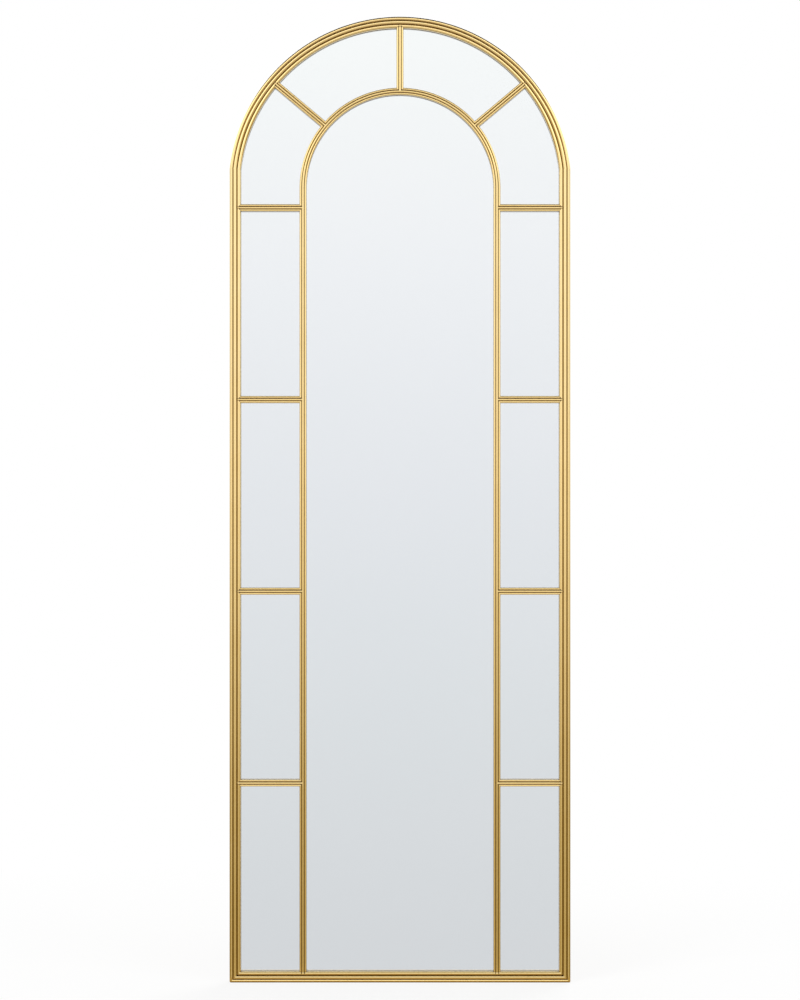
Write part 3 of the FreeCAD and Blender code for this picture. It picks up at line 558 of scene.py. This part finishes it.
def crossbar_joints():
    for label, side in SIDES.items():
        for row in ROWS:
            low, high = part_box(f"{label}_crossbar_{row}")
            ends = sorted((abs(low.x), abs(high.x)))
            z = (low.z + high.z) / 2
            yield joint(side * (ends[0] + SMALL_SETBACK), z, radians(90), SMALL_BULK)
            yield joint(side * (ends[1] - LARGE_SETBACK), z, radians(90), LARGE_BULK)


def fan_joints():
    for angle in FAN_ANGLES:
        ends = ((FAN_INNER + SMALL_SETBACK, SMALL_BULK), (FAN_OUTER - LARGE_SETBACK, LARGE_BULK))
        for radius, bulk in ends:
            yield joint(radius * sin(angle), ARCH_CENTRE + radius * cos(angle), angle, bulk)


def foot_joints():
    for label in SIDES:
        low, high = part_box(f"{label}_pillar")
        yield joint((low.x + high.x) / 2, low.z + LARGE_SETBACK, 0, LARGE_BULK)


joints = [*crossbar_joints(), *fan_joints(), *foot_joints()]
print(f"{len(joints)} soldered joints")


# %% Helpers for copies on points
class Scatter(Maker):
    """A shape tree that sets a copy of its shape on each point of its carrier."""

    def chance(self, low, high, seed):
        """A random value for each point, from a fixed seed."""
        sockets = {2: low, 3: high, "Seed": seed}
        return self.add("FunctionNodeRandomValue", sockets, data_type="FLOAT").outputs[1]

    def given(self, name):
        """A value that the carrier holds for each of its points."""
        return self.add("GeometryNodeInputNamedAttribute", {"Name": name}, data_type="FLOAT").outputs[0]

    def copies(self, shape, **sockets):
        """A copy of the shape on each point, made real."""
        sockets = {name.title(): value for name, value in sockets.items()}
        sockets = {"Points": self.carrier, "Instance": shape, **sockets}
        spread = self.add("GeometryNodeInstanceOnPoints", sockets)
        return self.add("GeometryNodeRealizeInstances", {0: spread.outputs[0]}).outputs[0]


# %% The solder
BALL_DIVISIONS = 3
LUMPS_PER_METRE = 420.0
BULK_RANGE = (0.9, 1.12)
BULK_SEED = 3


def blob_maker(name, radius, height, length, lump, material):
    """Lumpy drops that lie along their bar: radius across it, height off the glass, length along it."""
    maker = Scatter(name)
    sizes = (("Radius", radius), ("Height", height), ("Length", length))
    stretch = maker.vector(*(maker.size(*size) for size in sizes))
    ball = maker.add("GeometryNodeMeshIcoSphere", {"Radius": 1.0, "Subdivisions": BALL_DIVISIONS})
    drop = maker.placed(ball.outputs[0], scale=stretch)
    bulk = maker.maths("MULTIPLY", maker.given("bulk"), maker.chance(*BULK_RANGE, BULK_SEED))
    real = maker.copies(drop, rotation=maker.vector(0.0, maker.given("turn"), 0.0), scale=bulk)
    noise = maker.add("ShaderNodeTexNoise", {"Scale": LUMPS_PER_METRE, "Detail": 1.0})
    swell = maker.maths("MULTIPLY", maker.maths("SUBTRACT", noise.outputs[0], 0.5), maker.size("Lump", lump))
    normal = maker.add("GeometryNodeInputNormal")
    offset = maker.add("ShaderNodeVectorMath", {0: normal.outputs[0], "Scale": swell}, operation="SCALE")
    moved = maker.add("GeometryNodeSetPosition", {0: real, "Offset": offset.outputs[0]})
    maker.finish(moved.outputs[0], FINISHES[material])
    return maker


solder = blob_maker(
    "solder", radius=1.7 * MM, height=1.8 * MM, length=2.0 * MM, lump=0.3 * MM, material="gold_metal"
)
solder.make("joint_solder", joints, "mirror", "gold_metal")

# %% [markdown]
# ### Screws
# The clips and straps are held by small pan-head screws with a cross recess. They were driven by hand,
# so no two crosses point the same way. A lathe would turn the head, and the tree does the same: it takes
# a disc with rings, drops the rings towards the rim, and cuts the cross out with two bars. The places
# come from the model's own screws, which these replace.

# %% Where the model's screws are
def loose_boxes(name):
    """The lowest and highest corner of each separate piece in a node."""
    shape = merged_copy(name)
    waiting = set(shape.verts)
    boxes = []
    while waiting:
        edge_of_piece = [waiting.pop()]
        corners = []
        while edge_of_piece:
            vert = edge_of_piece.pop()
            corners.append(vert.co.copy())
            fresh = {edge.other_vert(vert) for edge in vert.link_edges} & waiting
            waiting -= fresh
            edge_of_piece.extend(fresh)
        low = Vector([min(corner[i] for corner in corners) for i in range(3)])
        high = Vector([max(corner[i] for corner in corners) for i in range(3)])
        boxes.append((low, high))
    shape.free()
    return sorted(boxes, key=lambda box: tuple(round(value, 5) for value in box[0]))


clip_boxes = loose_boxes("clip_screws")
hanger_boxes = loose_boxes("hanger_screws")
print(f"{len(clip_boxes)} clip screws and {len(hanger_boxes)} hanger screws")

# %% The screws
HEAD_HEIGHT = 1.8 * MM
SCREW_RADIUS = (clip_boxes[0][1].x - clip_boxes[0][0].x) / 2
SCREW_LENGTH = clip_boxes[0][1].y - clip_boxes[0][0].y
HEAD_SIDES = 36
HEAD_RINGS = 7
SHANK_SIDES = 20
TURN_SEED = 11
BACKWARDS = (radians(-90), 0, 0)


def domed_head(maker, radius, height):
    """A disc whose top rings fall towards the rim."""
    rings = {"Vertices": HEAD_SIDES, "Side Segments": 1, "Fill Segments": HEAD_RINGS}
    disc = maker.add("GeometryNodeMeshCylinder", {**rings, "Radius": radius, "Depth": height})
    place = maker.add("ShaderNodeSeparateXYZ", {0: maker.add("GeometryNodeInputPosition").outputs[0]})
    across = maker.maths("POWER", place.outputs[0], 2.0)
    along = maker.maths("POWER", place.outputs[1], 2.0)
    share = maker.maths("DIVIDE", maker.maths("ADD", across, along), maker.maths("POWER", radius, 2.0))
    fall = maker.maths("MULTIPLY", maker.maths("POWER", share, 2.0), maker.maths("DIVIDE", height, 2.0))
    crown = maker.maths("SUBTRACT", maker.maths("DIVIDE", height, 2.0), fall)
    level = maker.maths("MINIMUM", place.outputs[2], crown)
    moved = maker.vector(place.outputs[0], place.outputs[1], level)
    return maker.add("GeometryNodeSetPosition", {0: disc.outputs[0], "Position": moved}).outputs[0]


def screw_maker():
    """Pan-head screws on their points, each with its cross turned at random."""
    maker = Scatter("screw")
    radius = maker.size("Head radius", SCREW_RADIUS)
    height = maker.size("Head height", HEAD_HEIGHT)
    width = maker.size("Recess width", 0.8 * MM)
    length = maker.size("Recess length", 3.6 * MM)
    shank_radius = maker.size("Shank radius", 1.5 * MM)
    shank_length = maker.size("Shank length", SCREW_LENGTH - HEAD_HEIGHT)
    head = domed_head(maker, radius, height)
    bar = maker.add("GeometryNodeMeshCube", {"Size": maker.vector(length, width, height)})
    top = maker.vector(0.0, 0.0, maker.maths("DIVIDE", height, 2.0))
    first = maker.placed(bar.outputs[0], translation=top)
    second = maker.placed(bar.outputs[0], translation=top, rotation=(0, 0, radians(90)))
    cut = maker.carved(head, [first, second])
    sockets = {"Vertices": SHANK_SIDES, "Radius": shank_radius, "Depth": shank_length}
    rod = maker.add("GeometryNodeMeshCylinder", sockets)
    below = maker.maths("MULTIPLY", maker.maths("ADD", height, shank_length), -0.5)
    shank = maker.placed(rod.outputs[0], translation=maker.vector(0.0, 0.0, below))
    whole = maker.add("GeometryNodeJoinGeometry", {0: shank})
    maker.feed(whole.inputs[0], cut)
    screw = maker.placed(whole.outputs[0], rotation=BACKWARDS)
    real = maker.copies(screw, rotation=maker.vector(0.0, maker.chance(0.0, tau, TURN_SEED), 0.0))
    maker.finish(real, FINISHES["zinc"])
    return maker


def screw_points(boxes):
    """The middle of each screw's head."""
    for low, high in boxes:
        yield ((low.x + high.x) / 2, high.y - HEAD_HEIGHT / 2, (low.z + high.z) / 2), {}


screw = screw_maker()
for name, boxes in (("clip_screws", clip_boxes), ("hanger_screws", hanger_boxes)):
    piece = screw.make(f"turned_{name}", [*screw_points(boxes)], "mirror", "zinc")
    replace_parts(piece, name)

# %% [markdown]
# ### Weld spots
# Two spot welds fix each clip to the channel's wall, and each ring's wire is closed by a butt weld. Both
# are the drops that the solder uses, flattened on the clips and drawn round the wire on the rings.

# %% Weld spots on the clips
WELD_OUT = 8.0 * MM         # from the clip's screw to the clip's upright leg
WELD_ASIDE = 3.0 * MM       # each weld from the clip's middle
WELD_BACK = 3.2 * MM        # behind the board
RAIL_CLIPS = 15 * MM        # a clip screw lower than this is on the bottom rail


def outwards(x, z):
    """The direction from a clip's screw to the channel's wall, as an angle from upright."""
    if z > ARCH_CENTRE:
        return atan2(x, z - ARCH_CENTRE)
    if z < cad_low.z + RAIL_CLIPS:
        return pi
    return radians(90) if x > 0 else radians(-90)


def clip_welds():
    for low, high in clip_boxes:
        x, z = (low.x + high.x) / 2, (low.z + high.z) / 2
        turn = outwards(x, z)
        for aside in (-WELD_ASIDE, WELD_ASIDE):
            place = (
                x + WELD_OUT * sin(turn) + aside * cos(turn),
                BOARD_BACK + WELD_BACK,
                z + WELD_OUT * cos(turn) - aside * sin(turn),
            )
            yield place, {"turn": turn, "bulk": 1.0}


welds = blob_maker(
    "spot_weld",
    radius=1.25 * MM,
    height=1.25 * MM,
    length=0.22 * MM,
    lump=0.08 * MM,
    material="gold_metal",
)
welds.make("clip_welds", [*clip_welds()], "mirror", "gold_metal")


# %% Butt welds on the rings
BEAD_OUT = 1.06             # how far a bead stands out, in radii of the wire
BEAD_ALONG = 1.1            # how far it runs along the wire to each side, in the same
BEAD_LUMP = 0.12 * MM


def ring_weld(name):
    """The radius of a ring's wire, and the point on its lowest bend where it is closed."""
    low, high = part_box(name)
    wire = (high.y - low.y) / 2
    place = ((low.x + high.x) / 2, (low.y + high.y) / 2, low.z + wire)
    return wire, (place, {"turn": radians(90), "bulk": 1.0})


for label in SIDES:
    wire, point = ring_weld(f"{label}_hanging_ring")
    out, along = wire * BEAD_OUT, wire * BEAD_ALONG
    bead = blob_maker(f"{label}_bead", out, out, along, BEAD_LUMP, "brassed_steel")
    bead.make(f"{label}_ring_weld", [point], f"{label}_ring", "brassed_steel")

# %% [markdown]
# ## The studio
# The photograph is a plain catalogue shot: the camera stands straight in front at half the mirror's
# height, and everything round the mirror is white. A mirror shows only what stands round it, so what
# counts is the room that it sees. The room is painted on the world, by the direction of each ray: for
# the camera it is plain white, and for reflections it is a wall that is bright above and greyer towards
# the floor. Round about it turns warm and dim low down, which is where the gold takes its depth near
# the foot, and a dark ceiling draws a dark line along everything that faces up. A ray that has been
# through the glass sees the wall alone, so the mirror stays silver from every side.

# %% The room as reflections see it
FRONT = (
    # elevation in degrees above the horizon, and the light that comes from straight in front
    (-10, linear(218, 219, 223)),
    (-5, linear(225, 227, 231)),
    (0, linear(234, 235, 240)),
    (5, linear(245, 245, 249)),
    (10, linear(254, 254, 255)),
    (18, linear(255, 255, 255)),
)
ROUND_ABOUT = (
    # the same for the sides, the back, the ceiling and the floor: light, 1 being white
    (-60, (0.95, 0.90, 0.80)),
    (-18, (0.95, 0.90, 0.76)),
    (-13, (0.54, 0.43, 0.18)),
    (-10.5, (0.52, 0.42, 0.17)),
    (-7, (0.62, 0.52, 0.26)),
    (-3, (0.98, 0.90, 0.68)),
    (0, (1.35, 1.30, 1.16)),
    (4, (1.45, 1.50, 1.58)),
    (12, (1.50, 1.58, 1.60)),
    (16, (2.35, 2.40, 2.40)),
    (30, (2.35, 2.40, 2.40)),
    (36, (0.40, 0.35, 0.28)),
    (40, (0.05, 0.04, 0.03)),
    (90, (0.03, 0.02, 0.01)),
)
STRONGEST = 2.4            # the brightest light above, which the ramps' colours are shares of
AMBIENT = (0.5, 0.5, 0.5, 1)        # the plain light that the shapes stand in
WHITE = (1, 1, 1, 1)
STRAIGHT = (12, 16)        # degrees off the mirror's axis between which the front gives way
SIDE_SCREENS = (
    # degrees off the mirror's axis, and how much a dark screen there leaves of the light
    (40, 1.0),
    (66, 0.5),
    (100, 0.42),
    (128, 0.85),
    (160, 1.0),
)


def by_height(elevation):
    """Where an elevation in degrees lies between straight down, 0, and straight up, 1."""
    return (sin(radians(elevation)) + 1) / 2


def by_turn(angle):
    """Where an angle off the mirror's axis lies between straight in front, 0, and behind, 1."""
    return (1 - cos(radians(angle))) / 2


def as_share(light):
    """A light as the colour that a ramp can hold."""
    return tuple(value / STRONGEST for value in light[:3]) + (1,)


def ramp_of(room, stops, value):
    """A colour ramp fed by a value, with (position, colour) stops."""
    ramp = room.add("ShaderNodeValToRGB", {0: value})
    elements = ramp.color_ramp.elements
    while len(elements) < len(stops):
        elements.new(1)
    for element, (position, colour) in zip(elements, sorted(stops)):
        element.position = position
        element.color = colour
    return ramp.outputs[0]


def reflected_light(room, front, around, turn):
    """The front where a ray goes straight forward, the room round about elsewhere, less the screens."""
    start, stop = (by_turn(angle) for angle in STRAIGHT)
    aside = room.add("ShaderNodeMapRange", {"Value": turn, "From Min": start, "From Max": stop})
    whole = room.add("ShaderNodeMix", {0: aside.outputs[0], 6: front, 7: around}, data_type="RGBA")
    screens = ramp_of(room, [(by_turn(angle), (left, left, left, 1)) for angle, left in SIDE_SCREENS], turn)
    both = {0: 1.0, 6: whole.outputs[2], 7: screens}
    return room.add("ShaderNodeMix", both, data_type="RGBA", blend_type="MULTIPLY").outputs[2]


def paint_world():
    world = bpy.data.worlds.new("studio")
    bpy.context.scene.world = world
    world.use_nodes = True
    room = Wiring(world.node_tree)
    room.tree.nodes.clear()

    ray = room.add("ShaderNodeTexCoord").outputs["Generated"]
    direction = room.add("ShaderNodeSeparateXYZ", {0: ray}).outputs
    height = room.add("ShaderNodeMapRange", {"Value": direction["Z"], "From Min": -1}).outputs[0]
    turn = room.add("ShaderNodeMapRange", {"Value": direction["Y"], "From Min": -1}).outputs[0]
    front = ramp_of(room, [(by_height(angle), as_share(light)) for angle, light in FRONT], height)
    around = ramp_of(room, [(by_height(angle), as_share(light)) for angle, light in ROUND_ABOUT], height)

    reflected = reflected_light(room, front, around, turn)
    lights = (
        # what the ray is, its colour and its strength: a later line wins over an earlier one
        ("Glossy", reflected, STRONGEST),
        ("Transmission", front, STRONGEST),
        ("Camera", WHITE, 1.0),
    )
    rays = room.add("ShaderNodeLightPath")
    seen = room.add("ShaderNodeBackground", {"Color": AMBIENT}).outputs[0]
    for kind, colour, strength in lights:
        light = room.add("ShaderNodeBackground", {"Color": colour, "Strength": strength})
        layers = {0: rays.outputs[f"Is {kind} Ray"], 1: seen, 2: light.outputs[0]}
        seen = room.add("ShaderNodeMixShader", layers).outputs[0]
    room.add("ShaderNodeOutputWorld", {"Surface": seen})


paint_world()
print(f"room painted with {len(FRONT)} tones in front and {len(ROUND_ABOUT)} round about")

# %% [markdown]
# The floor is a pale disc that fades into the white round it, so that no horizon shows. It takes the
# mirror's soft shadow. Reflections pass through it to the room's own floor tones.

# %% The floor
FLOOR_RADIUS = 6.0
FLOOR_SIDES = 96
FLOOR_DROP = 0.2 * MM       # below the mirror's foot
FADE = (0.4, 1.6)           # the distances from the middle between which the floor turns white
WHITE_AT_FOOT = 0.84        # how white it is already at the mirror


def pale_floor():
    mesh = bpy.data.meshes.new("floor")
    shape = bmesh.new()
    bmesh.ops.create_circle(shape, cap_ends=True, radius=FLOOR_RADIUS, segments=FLOOR_SIDES)
    shape.to_mesh(mesh)
    shape.free()
    floor = in_scene("floor", mesh)
    floor.location.z = -FLOOR_DROP
    finish = Finish("pale_floor", Specular_IOR_Level=0.0, Roughness=0.9)
    grain = finish.noise(30 * MM, detail=3)
    finish.colour(finish.mix(grain, linear(238, 238, 237), linear(242, 242, 241)))
    away = finish.add("ShaderNodeVectorMath", {0: finish.place}, operation="LENGTH")
    fade = finish.span(away.outputs["Value"], *FADE, WHITE_AT_FOOT, 1)
    glow = finish.add("ShaderNodeEmission")
    rays = finish.add("ShaderNodeLightPath")
    seen = {0: fade, 1: rays.outputs["Is Camera Ray"]}
    white = finish.add("ShaderNodeMath", seen, operation="MULTIPLY")
    layers = {0: white.outputs[0], 1: finish.shader.outputs[0], 2: glow.outputs[0]}
    both = finish.add("ShaderNodeMixShader", layers)
    finish.feed(finish.tree.nodes["Material Output"].inputs["Surface"], both.outputs[0])
    mesh.materials.append(finish.done())
    floor.visible_glossy = False
    floor.visible_transmission = False


pale_floor()

# %% [markdown]
# Right at the foot the mirror shades its own patch of floor. Only the bottom rail is low enough to
# reflect it. That patch is a painted shadow: a strip that glows a dim brown and that nothing but
# reflections can see.

# %% The shaded strip
STRIP = (0.35, 0.065)       # half its length and half its depth
STRIP_DROP = 0.1 * MM       # below the mirror's foot, just above the floor


def shaded_strip():
    mesh = bpy.data.meshes.new("shaded_strip")
    along, across = STRIP
    corners = [(-along, -across, 0), (along, -across, 0), (along, across, 0), (-along, across, 0)]
    mesh.from_pydata(corners, [], [(0, 1, 2, 3)])
    strip = in_scene("shaded_strip", mesh)
    strip.location = (0, (cad_low.y + cad_high.y) / 2, -STRIP_DROP)
    finish = Finish("shaded_strip", Roughness=1.0, Emission_Strength=1.0, Specular_IOR_Level=0.0)
    finish.feed(finish.shader.inputs["Base Color"], (0, 0, 0, 1))
    # Painted shadow: a fixed dim brown glow stands in for the shade on the floor at the foot.
    tone = finish.mix(finish.noise(30 * MM), (0.46, 0.36, 0.17, 1), (0.52, 0.42, 0.21, 1))
    finish.feed(finish.shader.inputs["Emission Color"], tone)
    mesh.materials.append(finish.done())
    for rays in ("camera", "diffuse", "transmission", "shadow", "volume_scatter"):
        setattr(strip, f"visible_{rays}", False)


shaded_strip()

# %% [markdown]
# Three large soft lamps give the shapes some light and shade: one from the front left, a weaker one from
# the front right, and one behind, so that the back can be seen too. With the world's own light they add
# up to about the level at which a colour looks as it is written.

# %% The lamps
LAMPS = (
    # name, place, side of the square in metres, power in watts
    ("key", (-2.6, -3.2, 2.8), 2.2, 95),
    ("fill", (3.0, -2.8, 1.8), 2.4, 55),
    ("back", (1.6, 3.4, 2.9), 2.4, 110),
)


def soft_lamp(name, place, size, power):
    lamp = bpy.data.lights.new(name, "AREA")
    lamp.shape = "SQUARE"
    lamp.size = size
    lamp.energy = power
    holder = in_scene(name, lamp)
    holder.location = place
    aim = Vector((0, 0, (cad_low.z + cad_high.z) / 2)) - holder.location
    holder.rotation_euler = aim.to_track_quat("-Z", "Y").to_euler()
    holder.visible_glossy = False
    holder.visible_transmission = False
    holder.visible_camera = False


for lamp_row in LAMPS:
    soft_lamp(*lamp_row)
print(f"{len(LAMPS)} lamps")

# %% [markdown]
# The picture is 800 wide and 1000 high, and the mirror's front takes 1.758 mm to a pixel. The lens
# follows from that and from the camera's distance.

# %% The camera
PICTURE_HEIGHT = 1000
PIXEL = 1.7584 * MM
BASE_LINE = 983.0           # the row of pixels at which the frame stands
DISTANCE = 4.5              # from the camera to the mirror's front
SENSOR = 36                 # in millimetres, as the lens is


def straight_camera():
    data = bpy.data.cameras.new("camera")
    data.sensor_width = SENSOR
    data.lens = SENSOR * DISTANCE / (PICTURE_HEIGHT * PIXEL)
    camera = in_scene("camera", data)
    height = (BASE_LINE - PICTURE_HEIGHT / 2) * PIXEL
    camera.location = (0, cad_low.y - DISTANCE, height)
    camera.rotation_euler = (radians(90), 0, 0)
    bpy.context.scene.camera = camera
    print(f"lens {data.lens:.1f} mm, {DISTANCE} m away, {height:.3f} m up")


straight_camera()
bpy.context.scene.view_settings.view_transform = "Standard"
